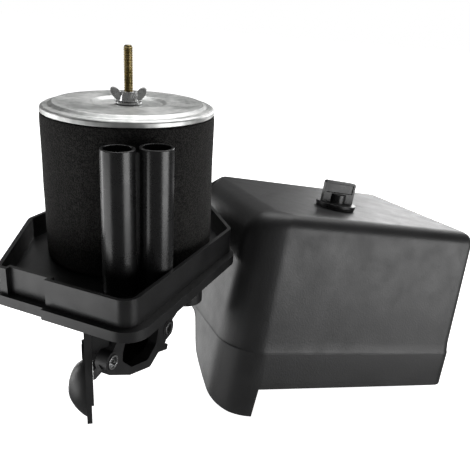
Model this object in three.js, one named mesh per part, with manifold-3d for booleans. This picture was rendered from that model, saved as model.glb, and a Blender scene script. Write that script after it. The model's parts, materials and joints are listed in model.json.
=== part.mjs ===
// Air filter housing of a small engine: a tray with its filter element, stud and wing nut standing
// on a carburettor elbow, and the removed dust cover with its clamping knob beside it.
// Millimetres, +Z up. The origin is the centre of the carburettor port in the elbow's flange face.
import * as THREE from "three";
import { mergeVertices } from "three/addons/utils/BufferGeometryUtils.js";
import Module from "manifold-3d";

const wasm = await Module();
wasm.setup();

// ---------------------------------------------------------------- driving dimensions
// Working frame: filter axis at X = Y = 0, top of the tray floor at Z = 0.
const PORT = new THREE.Vector3(45, -57, -33); // carburettor port centre in the working frame
const WALL = 2.5; // tray wall
const RIM_Z = 15; // tray rim
const LIP_TOP = -1.6;
const LIP_BOTTOM = -8;
const LIP_OUT = 5.5;
const TRAY_RIGHT = 62;
const TRAY_LEFT = -68;
const TRAY_FRONT = -94;
const TRAY_BACK = 88;
const FOAM_R = 55.5; // foam sleeve outside radius
const FOAM_TOP = 94.3;
const CAP_R = 54.9;
const CAP_TOP = 100.6;
const STUD_R = 3;
const STUD_TOP = 135;
const OUTLET_R = 22; // air outlet in the tray floor
const TUBE_R = 10;
const TUBE_BORE = 8;
const TUBE_TOP = 87;
const TUBE_L = [33.5, -61.7];
const TUBE_R_AT = [49.0, -46.6];
const COVER_W = 200; // cover, along its front face
const COVER_D = 156;
const COVER_H = 128.8;
const COVER_WALL = 2.6;
const COVER_TAPER = 5.4; // inset of the top edge on each side
const BAND_H = 28.5; // lower band of the cover
const LEG_DROP = 22; // leg at the cover's front-left corner
const NOTCH_Z = 25; // raised lower edge along the left face and the cut corner
const KNOB_AT = [-9, -24]; // knob axis in the cover's own frame
const COVER_POS = [95.4, 118.3, -114.1]; // centre of the cover's rim plane
const COVER_TURN = [43.8, 9.5, -4.6]; // degrees about Z, then Y, then X

// ---------------------------------------------------------------- helpers
const G = new THREE.Group();
const M = (color, roughness, metalness = 0) =>
  new THREE.MeshStandardMaterial({ color, roughness, metalness });
const PLASTIC = M(0x17181a, 0.42);
const PLASTIC_TEX = M(0x1c1d1f, 0.55);
const PLASTIC_GLOSS = M(0x141416, 0.3);
const FOAM = M(0x0d0d0f, 0.95);
const PAPER = M(0xb59a62, 0.9);
const ALU = M(0xb8bbbd, 0.35, 1);
const ZINC = M(0xaeb1b3, 0.35, 1);
const BLACK_OXIDE = M(0x202122, 0.45, 0.8);
const YELLOW = M(0x8a7538, 0.38, 1);
const BRASS = M(0xb08d45, 0.35, 1);
const RUBBER = M(0x121212, 0.8);

const clean = (g) => {
  const b = new THREE.BufferGeometry();
  const s = g.index ? g.toNonIndexed() : g;
  b.setAttribute("position", s.getAttribute("position").clone());
  return mergeVertices(b, 1e-4);
};
const solid = (g) => {
  const m = clean(g);
  return new wasm.Manifold(
    new wasm.Mesh({
      numProp: 3,
      vertProperties: new Float32Array(m.attributes.position.array),
      triVerts: new Uint32Array(m.index.array),
    }),
  );
};
const geo = (s) => {
  const m = s.getMesh();
  const g = new THREE.BufferGeometry();
  const n = m.numProp;
  const v = new Float32Array(m.numVert * 3);
  for (let i = 0; i < m.numVert; i++) v.set(m.vertProperties.subarray(i * n, i * n + 3), i * 3);
  g.setAttribute("position", new THREE.BufferAttribute(v, 3));
  g.setIndex(new THREE.BufferAttribute(new Uint32Array(m.triVerts), 1));
  g.computeVertexNormals();
  return g;
};
const join = (...s) => s.reduce((a, b) => a.add(b));
const cut = (a, ...s) => s.reduce((x, y) => x.subtract(y), a);

// Outline with one radius per corner; corners are [x, y, r], anticlockwise.
function rounded(corners, seg = 4) {
  const pts = [];
  const n = corners.length;
  for (let i = 0; i < n; i++) {
    const [px, py] = corners[(i + n - 1) % n];
    const [x, y, r] = corners[i];
    const [nx, ny] = corners[(i + 1) % n];
    const a = new THREE.Vector2(px - x, py - y).normalize();
    const b = new THREE.Vector2(nx - x, ny - y).normalize();
    if (!r) {
      pts.push(new THREE.Vector2(x, y));
      continue;
    }
    const half = Math.acos(THREE.MathUtils.clamp(a.dot(b), -1, 1)) / 2;
    const t = r / Math.tan(half);
    const c = a.clone().add(b).normalize().multiplyScalar(r / Math.sin(half)).add(new THREE.Vector2(x, y));
    const p0 = new THREE.Vector2(x, y).addScaledVector(a, t);
    const p1 = new THREE.Vector2(x, y).addScaledVector(b, t);
    const a0 = Math.atan2(p0.y - c.y, p0.x - c.x);
    let da = Math.atan2(p1.y - c.y, p1.x - c.x) - a0;
    while (da > Math.PI) da -= 2 * Math.PI;
    while (da < -Math.PI) da += 2 * Math.PI;
    for (let k = 0; k <= seg; k++) {
      const w = a0 + (da * k) / seg;
      pts.push(new THREE.Vector2(c.x + r * Math.cos(w), c.y + r * Math.sin(w)));
    }
  }
  return pts;
}
// The same corners moved in by d (out when negative), radii following.
function inset(corners, d, list) {
  const n = corners.length;
  return corners.map(([x, y, r], i) => {
    const [px, py] = corners[(i + n - 1) % n];
    const [nx, ny] = corners[(i + 1) % n];
    const e0 = new THREE.Vector2(x - px, y - py).normalize();
    const e1 = new THREE.Vector2(nx - x, ny - y).normalize();
    const n0 = new THREE.Vector2(-e0.y, e0.x);
    const n1 = new THREE.Vector2(-e1.y, e1.x);
    const d0 = list ? d * list[(i + n - 1) % n] : d;
    const d1 = list ? d * list[i] : d;
    const det = n0.x * n1.y - n0.y * n1.x;
    if (Math.abs(det) < 1e-6) return [x + n0.x * d0, y + n0.y * d0, r];
    const c0 = n0.dot(new THREE.Vector2(x, y)) + d0;
    const c1 = n1.dot(new THREE.Vector2(x, y)) + d1;
    const ix = (c0 * n1.y - c1 * n0.y) / det;
    const iy = (n0.x * c1 - n1.x * c0) / det;
    return [ix, iy, r ? Math.max(0.6, r - d) : 0];
  });
}
const slab = (pts, z0, z1) => {
  const g = new THREE.ExtrudeGeometry(new THREE.Shape(pts), { depth: z1 - z0, bevelEnabled: false, steps: 1 });
  g.translate(0, 0, z0);
  return solid(g);
};
const box = (x0, y0, z0, x1, y1, z1) => {
  const g = new THREE.BoxGeometry(x1 - x0, y1 - y0, z1 - z0);
  g.translate((x0 + x1) / 2, (y0 + y1) / 2, (z0 + z1) / 2);
  return solid(g);
};
const cyl = (r, z0, z1, x = 0, y = 0, seg = 32, r2 = r) => {
  const g = new THREE.CylinderGeometry(r2, r, z1 - z0, seg);
  g.rotateX(Math.PI / 2);
  g.translate(x, y, (z0 + z1) / 2);
  return solid(g);
};
const cylX = (r, x0, x1, y, z, seg = 20) => {
  const g = new THREE.CylinderGeometry(r, r, x1 - x0, seg);
  g.rotateZ(-Math.PI / 2);
  g.translate((x0 + x1) / 2, y, z);
  return solid(g);
};
const lathe = (profile, seg = 40) => {
  const g = new THREE.LatheGeometry(profile.map(([r, z]) => new THREE.Vector2(r, z)), seg);
  g.rotateX(Math.PI / 2);
  let s = solid(g);
  if (s.volume() < 0) {
    const m = clean(g);
    const idx = m.index.array;
    for (let i = 0; i < idx.length; i += 3) [idx[i + 1], idx[i + 2]] = [idx[i + 2], idx[i + 1]];
    s = new wasm.Manifold(
      new wasm.Mesh({
        numProp: 3,
        vertProperties: new Float32Array(m.attributes.position.array),
        triVerts: new Uint32Array(idx),
      }),
    );
  }
  return s;
};
const ring = (r0, r1, z0, z1, seg = 40) => lathe([[r0, z0], [r1, z0], [r1, z1], [r0, z1], [r0, z0]], seg);
// Solid through a stack of outlines with equal point counts: levels are [z, points].
function loft(levels) {
  const n = levels[0][1].length;
  const v = [];
  const t = [];
  levels.forEach(([z, pts]) => pts.forEach((p) => v.push(p.x, p.y, p.z ?? z)));
  for (let l = 0; l + 1 < levels.length; l++)
    for (let i = 0; i < n; i++) {
      const a = l * n + i;
      const b = l * n + ((i + 1) % n);
      t.push(a, b, b + n, a, b + n, a + n);
    }
  const last = levels.length - 1;
  const f0 = THREE.ShapeUtils.triangulateShape(levels[0][1].map((p) => p.clone()), []);
  const f1 = THREE.ShapeUtils.triangulateShape(levels[last][1].map((p) => p.clone()), []);
  f0.forEach(([a, b, c]) => t.push(a, c, b));
  f1.forEach(([a, b, c]) => t.push(last * n + a, last * n + b, last * n + c));
  const g = new THREE.BufferGeometry();
  g.setAttribute("position", new THREE.BufferAttribute(new Float32Array(v), 3));
  g.setIndex(t);
  return solid(g);
}
function add(parent, name, s, material) {
  const m = new THREE.Mesh(s.isBufferGeometry ? s : geo(s), material);
  m.name = name;
  parent.add(m);
  return m;
}

// ---------------------------------------------------------------- base: tray
const base = new THREE.Group();
base.position.copy(PORT).negate();
G.add(base);

// Corners, anticlockwise from the one with the intake tubes.
const CHAMFER = 68.3; // distance of the right-back chamfer from the filter axis
const NX = 0.74;
const NY = 0.6726;
const trayCorners = [
  [TRAY_RIGHT, TRAY_FRONT, 9],
  [TRAY_RIGHT, (CHAMFER - NX * TRAY_RIGHT) / NY, 8],
  [(CHAMFER - NY * TRAY_BACK) / NX, TRAY_BACK, 10],
  [TRAY_LEFT, TRAY_BACK, 26],
  [TRAY_LEFT, -24, 8],
  [-29, TRAY_FRONT, 5],
];
const LIP_SIDES = [1, 0.22, 1, 0.5, 0.3, 0.8]; // the lip is narrow along the chamfer and round the left side
const lipOutline = inset(trayCorners, -LIP_OUT, LIP_SIDES);
const outline = rounded(trayCorners, 5);
const inner = rounded(inset(trayCorners, WALL), 5);
let tray = slab(rounded(lipOutline, 5), LIP_BOTTOM, LIP_TOP);
tray = cut(tray, slab(rounded(inset(trayCorners, 3.0), 5), LIP_BOTTOM - 1, -3.2));
tray = join(tray, slab(outline, -2.4, 0));
tray = join(tray, cut(slab(outline, -0.5, RIM_Z), slab(inner, 0, RIM_Z + 1)));
// recessed panel in the front wall and a step in the lip below it
tray = join(tray, box(-24, TRAY_FRONT + 1, -0.5, 8, TRAY_FRONT + 5.6, RIM_Z));
tray = cut(tray, box(-22, TRAY_FRONT - 1, LIP_TOP, 5.5, TRAY_FRONT + 3, RIM_Z + 1));
tray = cut(tray, box(-40, TRAY_FRONT - 8, LIP_BOTTOM - 1, 5.5, TRAY_FRONT - 2.4, LIP_TOP + 1));
// outlet with a three-armed spider and a boss for the stud
tray = cut(tray, cyl(OUTLET_R, -6, 2, 0, 0, 36));
for (let k = 0; k < 3; k++) {
  const g = new THREE.BoxGeometry(OUTLET_R + 2, 5, 3);
  g.translate((OUTLET_R + 2) / 2, 0, -1.6);
  g.rotateZ((k * 2 * Math.PI) / 3 + 0.4);
  tray = join(tray, solid(g));
}
tray = join(tray, cyl(8, -6, 2.4, 0, 0, 24));
tray = cut(tray, cyl(STUD_R + 0.3, -8, 6, 0, 0, 20));
// raised seat the element stands on
tray = join(tray, ring(38, 40, -1, 2.2, 40));
// sockets for the twin intake tubes
for (const [x, y] of [TUBE_L, TUBE_R_AT])
  tray = join(tray, cyl(TUBE_R + 2, -8, 2.0, x, y, 28).intersect(slab(outline, -8, 3)));
for (const [x, y] of [TUBE_L, TUBE_R_AT])
  tray = cut(tray, cyl(TUBE_R + 0.35, -5.7, 4, x, y, 28), cyl(TUBE_BORE, -9, 0, x, y, 28));
// hollow spigot on the underside for the crankcase breather
tray = join(tray, cyl(11.3, -25, -3, 48.5, -8, 28));
tray = cut(tray, cyl(8.6, -26, -6, 48.5, -8, 28), cyl(3.2, -8, 2, 48.5, -8, 16));
// screw holes for the elbow
const ELBOW_SCREWS = [90, 210, 330].map((a) => {
  const w = THREE.MathUtils.degToRad(a + 12);
  return [28.2 * Math.cos(w), 28.2 * Math.sin(w)];
});
for (const [x, y] of ELBOW_SCREWS) tray = cut(tray, cyl(2.6, -6, 3, x, y, 16));
add(base, "tray_case", tray, PLASTIC);

// ---------------------------------------------------------------- twin intake tubes
const webAngle = Math.atan2(TUBE_R_AT[1] - TUBE_L[1], TUBE_R_AT[0] - TUBE_L[0]);
const web = new THREE.BoxGeometry(7, 2.6, TUBE_TOP - 6);
web.rotateZ(webAngle);
web.translate((TUBE_L[0] + TUBE_R_AT[0]) / 2, (TUBE_L[1] + TUBE_R_AT[1]) / 2, TUBE_TOP / 2 + 0.5);
let tubes = join(
  cyl(TUBE_R, -5.3, TUBE_TOP, ...TUBE_L, 32, TUBE_R - 0.25),
  cyl(TUBE_R, -5.3, TUBE_TOP, ...TUBE_R_AT, 32, TUBE_R - 0.25),
  solid(web),
);
tubes = cut(
  tubes,
  cyl(TUBE_BORE, -7, TUBE_TOP + 1, ...TUBE_L, 32),
  cyl(TUBE_BORE, -7, TUBE_TOP + 1, ...TUBE_R_AT, 32),
);
add(base, "intake_tube_pair", tubes, PLASTIC);

// rubber breather grommet in the spigot
add(
  base,
  "breather_grommet",
  lathe([[4, -24], [8.2, -24], [8.2, -8], [4, -8], [4, -24]], 24).translate([48.5, -8, 0]),
  RUBBER,
);

// ---------------------------------------------------------------- stud and its nuts
const hexRing = (af, z0, z1, bore) => {
  const g = new THREE.CylinderGeometry(af / Math.sqrt(3), af / Math.sqrt(3), z1 - z0, 6);
  g.rotateX(Math.PI / 2);
  g.translate(0, 0, (z0 + z1) / 2);
  return cut(solid(g), cyl(bore, z0 - 1, z1 + 1, 0, 0, 20));
};
add(
  base,
  "centre_stud",
  lathe([[0, -14], [2.4, -14], [STUD_R, -13.2], [STUD_R, STUD_TOP - 0.8], [2.4, STUD_TOP], [0, STUD_TOP]], 20),
  YELLOW,
);
add(base, "stud_nut_upper", hexRing(10, 4.1, 9, STUD_R + 0.3), ZINC);
add(base, "stud_washer_upper", ring(STUD_R + 0.4, 7.2, 2.7, 3.8, 24), ZINC);
add(base, "stud_nut_lower", hexRing(10, -11.3, -6.3, STUD_R + 0.3), ZINC);

// sealing ring under the element
add(base, "element_seal_ring", ring(40.4, 45.4, 0.3, 2.6, 40), RUBBER);

// ---------------------------------------------------------------- elbow to the carburettor
const ductCorners = [
  [41.4, -86, 3],
  [41.4, -34, 4],
  [30, 22, 12],
  [14, 32, 12],
  [-16, 32, 12],
  [-32, 16, 12],
  [-32, -16, 10],
  [6, -45, 10],
  [27.5, -77.5, 5],
];
const plateX = (pts, x0, x1) => {
  const g = new THREE.ExtrudeGeometry(new THREE.Shape(pts), { depth: x1 - x0, bevelEnabled: false });
  g.applyMatrix4(new THREE.Matrix4().makeBasis(
    new THREE.Vector3(0, 1, 0), new THREE.Vector3(0, 0, 1), new THREE.Vector3(1, 0, 0)));
  g.translate(x0, 0, 0);
  return solid(g);
};
const COLLAR_TOP = -4.9;
const DUCT_TOP = -11.6;
const DUCT_BOTTOM = -53;
let elbow = loft([
  [DUCT_BOTTOM, rounded(inset(ductCorners, 3.5), 3)],
  [DUCT_BOTTOM + 3.5, rounded(ductCorners, 3)],
  [DUCT_TOP, rounded(ductCorners, 3)],
]);
// the duct's floor rises towards the shield, along the flange's lower edge
const rise = (up) => plateX([[-110, -25], [-92, -36], [-69.8, -49.6], [-64, -53.1], [-64, -70], [-110, -70]]
  .map(([y, z]) => new THREE.Vector2(y, z > -60 ? z + up : z)), -60, 60);
elbow = cut(elbow, rise(0));
elbow = join(elbow, cyl(33, DUCT_TOP - 1, COLLAR_TOP, 0, 0, 40).intersect(slab(rounded(ductCorners, 3), -20, 0)));
let ductInside = loft([
  [DUCT_BOTTOM + 2.6, rounded(inset(ductCorners, 5.2), 3)],
  [DUCT_BOTTOM + 5, rounded(inset(ductCorners, 2.7), 3)],
  [DUCT_TOP - 2.6, rounded(inset(ductCorners, 2.7), 3)],
]);
ductInside = cut(ductInside, rise(3.2));
// carburettor flange, in the plane X = 41 to 45; points are [y, z]
const flangePts = [
  [-95.3, -30.3, 4], [-90.8, -36.6, 4], [-69.8, -49.4, 3], [-47.0, -57.2, 4], [-36.5, -52.3, 2],
  [-25.5, -56.2, 0.6], [-24.2, -52.6, 0.6], [-28, -50.4, 0.8], [-26.9, -48.2, 2], [-18.9, -46.6, 3],
  [-16.8, -41, 4], [-21.5, -33.5, 4], [-31, -21, 4], [-38, -11.2, 4], [-74, -11.2, 4], [-84, -21, 4],
];
elbow = join(elbow, plateX(rounded(flangePts, 3), 40.4, 45));
// block that the scoop shield is screwed to, and a rib from the flange's lower edge to the shield
{
  const xy = (pts) => pts.map(([x, y]) => new THREE.Vector2(x, y));
  elbow = join(elbow, slab(xy([[33.9, -90.63], [41.32, -84.79], [29.84, -76.65], [25.55, -80.02]]), -37.5, -12));
  const a = new THREE.Vector3(41.6, -93.1, -31);
  const b = new THREE.Vector3(33.3, -89.9, -42.2);
  const along = a.clone().sub(b).normalize();
  const side = new THREE.Vector3(0, 0, 1).cross(along).normalize();
  const g = new THREE.BoxGeometry(3, 3, a.distanceTo(b) + 3);
  g.applyMatrix4(new THREE.Matrix4().makeBasis(side, along.clone().cross(side), along).setPosition(a.clone().add(b).multiplyScalar(0.5)));
  elbow = join(elbow, cut(solid(g), slab(xy([[37.87, -95.77], [21.8, -75.3], [13.55, -81.8], [29.6, -102.3]]), -60, -5)));
  const hole = new THREE.CylinderGeometry(2.2, 2.2, 5.8, 16);
  hole.rotateZ(2.237);
  hole.translate(30.64, -83.01, -29);
  elbow = cut(elbow, solid(clean(hole)));
}
const EYELETS = [[-87.6, -29.6], [-24.5, -40.3]];
for (const [y, z] of EYELETS) elbow = join(elbow, cylX(6.4, 38, 45.4, y, z, 24));
const portPts = [
  [-76.6, -29, 4], [-77.4, -35.2, 3], [-68.2, -44.6, 4], [-50, -50.4, 4], [-39.6, -44.4, 4],
  [-36, -33, 4], [-38.5, -22, 4], [-48, -16.6, 4], [-64, -16.6, 4], [-72, -21, 4],
];
elbow = cut(elbow, ductInside, plateX(rounded(portPts, 3), 36, 47));
elbow = cut(elbow, cyl(OUTLET_R, -15, -2, 0, 0, 36));
for (const [y, z] of EYELETS) elbow = cut(elbow, cylX(4.6, z > -35 ? 35 : 30, 46, y, z, 24));
for (const [x, y] of ELBOW_SCREWS) {
  elbow = join(elbow, cyl(4.6, -24, -5.2, x, y, 20).intersect(slab(rounded(ductCorners, 3), -25, -4.9)));
  elbow = cut(elbow, cyl(2.25, -17.5, -4, x, y, 16));
}
add(base, "carburettor_elbow", elbow, PLASTIC);
add(
  base,
  "elbow_gasket",
  cut(ring(OUTLET_R + 0.4, 31.5, -4.5, -3.5, 36), ...ELBOW_SCREWS.map(([x, y]) => cyl(2.7, -6, -2, x, y, 16))),
  RUBBER,
);
ELBOW_SCREWS.forEach(([x, y], i) =>
  add(base, "elbow_screw_" + (i + 1), join(cyl(1.95, -16.5, 0.6, x, y, 14), cyl(4.1, 0.3, 2.8, x, y, 20)), ZINC),
);
EYELETS.forEach(([y, z], i) =>
  add(
    base,
    i ? "mounting_collar_rear" : "mounting_collar_front",
    cut(cylX(4.3, 38.2, 46.2, y, z, 24), cylX(3.2, 37, 47, y, z, 24)),
    ZINC,
  ),
);

// ---------------------------------------------------------------- scoop shield below the tray
// Own axes: s along the plate, n towards its domed side, z up.
const SH0 = new THREE.Vector3(32.2, -92.6, 0);
const SHS = new THREE.Vector3(-0.618, 0.786, 0);
const SHN = new THREE.Vector3(-0.786, -0.618, 0);
const toShield = new THREE.Matrix4().makeBasis(SHS, new THREE.Vector3(0, 0, 1), SHN.clone().multiplyScalar(1)).setPosition(SH0);
const shieldPlate = (pts, n0, n1) => {
  const g = new THREE.ExtrudeGeometry(new THREE.Shape(pts), { depth: n1 - n0, bevelEnabled: false });
  g.translate(0, 0, n0);
  g.applyMatrix4(toShield);
  let s = solid(g);
  if (s.volume() < 0) {
    g.scale(1, 1, 1);
    const m = clean(g);
    const idx = m.index.array;
    for (let i = 0; i < idx.length; i += 3) [idx[i + 1], idx[i + 2]] = [idx[i + 2], idx[i + 1]];
    s = new wasm.Manifold(new wasm.Mesh({ numProp: 3, vertProperties: new Float32Array(m.attributes.position.array), triVerts: new Uint32Array(idx) }));
  }
  return s;
};
const shieldPts = [[0, -8.6, 0.5], [0, -74.5, 1.5], [14, -79, 8], [36, -72, 12], [50, -48, 12], [50, -8.6, 0.5]];
let shield = shieldPlate(rounded(shieldPts, 3), -1.1, 1.9);
shield = join(shield, shieldPlate(rounded([[0, -8.6, 0.5], [0, -62, 1], [30, -62, 6], [44, -44, 8], [44, -8.6, 0.5]], 3), -2.4, 0));
// domed scoop on the left face, open towards the plate's lower edge
const domeLevels = [];
for (let k = 0; k <= 6; k++) {
  const a = (k / 6) * 1.45;
  const c = Math.cos(a);
  const pts = [];
  for (let i = 0; i < 24; i++) {
    const w = (i / 24) * 2 * Math.PI;
    const up = Math.sin(w);
    // it tapers towards the plate's lower end
    const rz = up > 0 ? 19.5 * c : 19.8 * (0.5 * c + 0.5 * (1 - Math.sin(a)));
    pts.push(new THREE.Vector2(14 + 13.4 * c * Math.cos(w) * (up > 0 ? 1 : 1 + 0.25 * up), -59 + rz * up));
  }
  domeLevels.push([1.4 + 10.9 * Math.sin(a), pts]);
}
const dome = loft(domeLevels);
const domeGeo = geo(dome);
domeGeo.applyMatrix4(toShield);
const flip = (g) => {
  const idx = g.index.array;
  for (let i = 0; i < idx.length; i += 3) [idx[i + 1], idx[i + 2]] = [idx[i + 2], idx[i + 1]];
  return g;
};
const oriented = (g) => {
  const s = solid(g);
  return s.volume() < 0 ? solid(flip(g)) : s;
};
const scoopInside = geo(loft(domeLevels.slice(0, 6).map(([n, pts], k) => [
  k ? n - 2.0 : -4,
  pts.map((p) => new THREE.Vector2(14 + (p.x - 14) * 0.83, -59 + (p.y + 59) * 0.87)),
])));
scoopInside.applyMatrix4(toShield);
shield = cut(join(shield, oriented(domeGeo)), oriented(scoopInside));
// screw boss near the top of the plate
const shCyl = (r, n0, n1, s, z, seg = 20) => {
  const g = new THREE.CylinderGeometry(r, r, n1 - n0, seg);
  g.rotateX(Math.PI / 2);
  g.translate(s, z, (n0 + n1) / 2);
  g.applyMatrix4(toShield);
  return oriented(clean(g));
};
shield = join(shield, shCyl(7, -2.4, 3.2, 8.5, -29));
shield = cut(shield, shCyl(2.4, -6, 6, 8.5, -29, 16), shCyl(4.6, 1.3, 6, 8.5, -29, 20));
add(base, "scoop_shield", shield, PLASTIC);
add(base, "shield_screw", join(shCyl(2.0, -6.6, 1.7, 8.5, -29, 14), shCyl(4.2, 1.4, 3.4, 8.5, -29, 20)), BLACK_OXIDE);

// ---------------------------------------------------------------- filter element
add(
  base,
  "element_top_cap",
  lathe([
    [5.4, 98.9], [21.5, 98.9], [24.2, CAP_TOP], [47.6, CAP_TOP], [50.2, 98.9], [53.4, 98.6], [CAP_R, 97.6], [CAP_R, 94.6],
    [CAP_R - 0.9, 94.6], [CAP_R - 1.1, 97.0], [53, 97.6], [49.7, 97.9], [47.2, 99.6], [24.6, 99.6], [21.9, 97.8], [5.4, 97.8], [5.4, 98.9],
  ], 72),
  ALU,
);
add(base, "foam_sleeve", ring(46, FOAM_R, 0.6, FOAM_TOP, 64), FOAM);
add(base, "outer_screen", ring(44.6, 45.3, 4.2, 94.9, 48), ZINC);
{
  const pts = [];
  const holes = [];
  const N = 44;
  for (let i = 0; i < 2 * N; i++) {
    const w = (i * Math.PI) / N;
    const r = i % 2 ? 37.2 : 44.1;
    pts.push(new THREE.Vector2(r * Math.cos(w), r * Math.sin(w)));
    const q = i % 2 ? 35.2 : 41.9;
    holes.push(new THREE.Vector2(q * Math.cos(w), q * Math.sin(w)));
  }
  const s = new THREE.Shape(pts);
  s.holes.push(new THREE.Path(holes));
  const g = new THREE.ExtrudeGeometry(s, { depth: 90.4, bevelEnabled: false });
  g.translate(0, 0, 4.4);
  add(base, "pleated_paper", solid(g), PAPER);
}
add(base, "inner_screen", ring(33.6, 34.4, 4.2, 94.9, 40), ZINC);
add(base, "element_bottom_cap", ring(33.6, 45.3, 2.9, 3.9, 40), ALU);

// ---------------------------------------------------------------- washer and wing nut
add(base, "wing_nut_washer", ring(STUD_R + 0.35, 8.4, 99.3, 100.5, 28), ZINC);
{
  const hub = lathe([[STUD_R + 0.35, 100.8], [6.2, 100.8], [5.2, 107], [STUD_R + 0.35, 107], [STUD_R + 0.35, 100.8]], 24);
  const ear = (sgn) => {
    const s = new THREE.Shape();
    s.moveTo(3.6 * sgn, 101.2);
    s.lineTo(7.4 * sgn, 101.6);
    s.quadraticCurveTo(10.2 * sgn, 103.2, 11.5 * sgn, 106.8);
    s.quadraticCurveTo(11.8 * sgn, 109.4, 9.4 * sgn, 109.4);
    s.quadraticCurveTo(6.4 * sgn, 108.8, 5.0 * sgn, 105.8);
    s.lineTo(3.6 * sgn, 106.2);
    s.closePath();
    const g = new THREE.ExtrudeGeometry(s, { depth: 3.4, bevelEnabled: false, curveSegments: 4 });
    g.translate(0, 0, -1.7);
    g.applyMatrix4(new THREE.Matrix4().makeBasis(
      new THREE.Vector3(1, 0, 0), new THREE.Vector3(0, 0, 1), new THREE.Vector3(0, -1, 0)));
    return oriented(g);
  };
  let nut = join(hub, ear(1), ear(-1));
  nut = cut(nut, cyl(STUD_R + 0.35, 99, 112, 0, 0, 24));
  add(base, "wing_nut", nut.rotate([0, 0, 33.6]), ZINC);
}

// ---------------------------------------------------------------- cover, in its own frame
const cover = new THREE.Group();
cover.position.set(...COVER_POS);
cover.rotation.set(
  THREE.MathUtils.degToRad(COVER_TURN[2]),
  THREE.MathUtils.degToRad(COVER_TURN[1]),
  THREE.MathUtils.degToRad(COVER_TURN[0]),
  "ZYX",
);
base.add(cover);
const w2 = COVER_W / 2;
const d2 = COVER_D / 2;
// anticlockwise from front-right; the fourth and fifth corners are the cut back-left one
const coverCorners = [
  [w2, -d2, 12],
  [w2, d2, 14],
  [-w2 + 42, d2, 16],
  [-w2, -d2 + 92, 16],
  [-w2, -d2, 30],
];
// the same corners at the top: the cut corner leans, so it is smaller there
const topCorners = [
  [w2, -d2, 12],
  [w2, d2, 14],
  [-w2 + 22, d2, 14],
  [-w2, -d2 + 120, 14],
  [-w2, -d2, 30],
];
const CS = 6;
const cornersAt = (z) => {
  const t = Math.min(1, Math.max(0, z / COVER_H));
  return coverCorners.map((c, i) => c.map((v, j) => v * (1 - t) + topCorners[i][j] * t));
};
const at = (corners, d) => rounded(inset(corners, d), CS);
const taper = (z) => (COVER_TAPER * z) / COVER_H;
const outerLevels = [
  [-LEG_DROP, at(coverCorners, 0)],
  [0, at(coverCorners, 0)],
  [BAND_H, at(cornersAt(BAND_H), 0.5)],
  [BAND_H + 1.2, at(cornersAt(BAND_H), 1.4)],
];
// radius of the top edge over each side, anticlockwise from the right one: the left edge is the soft one
const EDGES = [10, 10, 10, 20, 10];
const EDGE = 10;
// Outline moved in by its own distance on each side, every point with its own height.
function edgeLevel(start, swing, w, top) {
  const n = coverCorners.length;
  const radii = EDGES.map((e) => Math.max(e - w, 1));
  const base = inset(cornersAt(COVER_H), start);
  const turned = inset(base, 1, radii.map((e) => e * (1 - Math.cos(swing)))).map(([x, y], i) => {
    const e = (radii[i] + radii[(i + n - 1) % n]) / 2;
    return [x, y, Math.max(2.5, base[i][2] - e * (1 - Math.cos(swing)))];
  });
  return rounded(turned, CS).map((p, j) => {
    const i = Math.floor(j / (CS + 1));
    const k = (j % (CS + 1)) / CS;
    const e = radii[(i + n - 1) % n] * (1 - k) + radii[i] * k;
    return new THREE.Vector3(p.x, p.y, top - e + e * Math.sin(swing));
  });
}
outerLevels.push([60, at(cornersAt(60), 0.6 + taper(60))], [95, at(cornersAt(95), 0.6 + taper(95))]);
for (let k = 0; k <= 5; k++)
  outerLevels.push([0, edgeLevel(0.6 + taper(COVER_H - EDGE), (k / 5) * (Math.PI / 2), 0, COVER_H)]);
const innerLevels = [
  [-LEG_DROP - 1, at(coverCorners, COVER_WALL)],
  [BAND_H, at(cornersAt(BAND_H), COVER_WALL + 0.3)],
  [BAND_H + 1.2, at(cornersAt(BAND_H), COVER_WALL + 1.3)],
  [60, at(cornersAt(60), COVER_WALL + 0.6 + taper(60))],
  [95, at(cornersAt(95), COVER_WALL + 0.6 + taper(95))],
];
for (let k = 0; k <= 4; k++)
  innerLevels.push([0, edgeLevel(COVER_WALL + 0.6 + taper(COVER_H - EDGE), (k / 4) * (Math.PI / 2), COVER_WALL, COVER_H - COVER_WALL)]);
let shell = cut(loft(outerLevels), loft(innerLevels));
// the leg at the front-left corner stays; its edge rises along the left face into the notch of the cut corner
shell = cut(shell, box(-62, -d2 - 5, -LEG_DROP - 5, w2 + 5, d2 + 5, 0));
const across = (pts, b0, b1, alongX) => {
  const g = new THREE.ExtrudeGeometry(new THREE.Shape(pts.map(([a, z]) => new THREE.Vector2(a, z))), { depth: b1 - b0, bevelEnabled: false });
  g.translate(0, 0, b0);
  g.applyMatrix4(alongX
    ? new THREE.Matrix4().makeBasis(new THREE.Vector3(0, 1, 0), new THREE.Vector3(0, 0, 1), new THREE.Vector3(1, 0, 0))
    : new THREE.Matrix4().makeBasis(new THREE.Vector3(1, 0, 0), new THREE.Vector3(0, 0, 1), new THREE.Vector3(0, -1, 0)));
  return solid(g);
};
shell = cut(
  shell,
  across([[-73.5, -LEG_DROP - 5], [-61, -LEG_DROP - 5], [-61, 0], [-72, 0], [-72.8, -1]], d2 - 30, d2 + 5, false),
  across(
    [[-81, -LEG_DROP - 5], [d2 - 6, -LEG_DROP - 5], [d2 - 6, NOTCH_Z], [6, NOTCH_Z], [1, 22], [-4, 14], [-9, 5.2], [-14, -1], [-22, -5.6],
      [-35, -11], [-48, -15.3], [-62, -19.2], [-71, -21.4], [-81, -LEG_DROP]],
    -w2 - 5, -61.5, true,
  ),
);
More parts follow.
